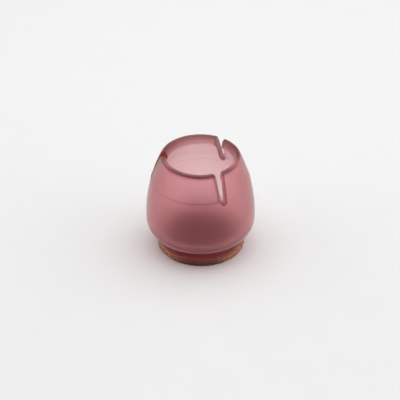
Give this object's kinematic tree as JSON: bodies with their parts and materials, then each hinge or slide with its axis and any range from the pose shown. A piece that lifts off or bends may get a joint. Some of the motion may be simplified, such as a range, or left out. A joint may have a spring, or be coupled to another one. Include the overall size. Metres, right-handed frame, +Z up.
{
  "type": "chair leg cap",
  "caption": "Barrel-shaped translucent silicone cap for a round chair leg, with slits in its mouth, a stepped base and a felt disc bonded underneath.",
  "frame": {"origin": "centre of the felt's underside, on the axis of the socket", "axes": "+Z up along the axis of the leg socket, out of its mouth; one slit faces -X"},
  "size_m": [0.03, 0.03, 0.0282],
  "materials": {
    "silicone": "satin translucent wine-rose silicone",
    "adhesive": "thin clear adhesive film",
    "felt": "pressed rust-brown felt"
  },
  "bodies": {
    "root": {"sleeve": "silicone", "adhesive_disc": "adhesive", "felt_pad": "felt"}
  },
  "joints": []
}
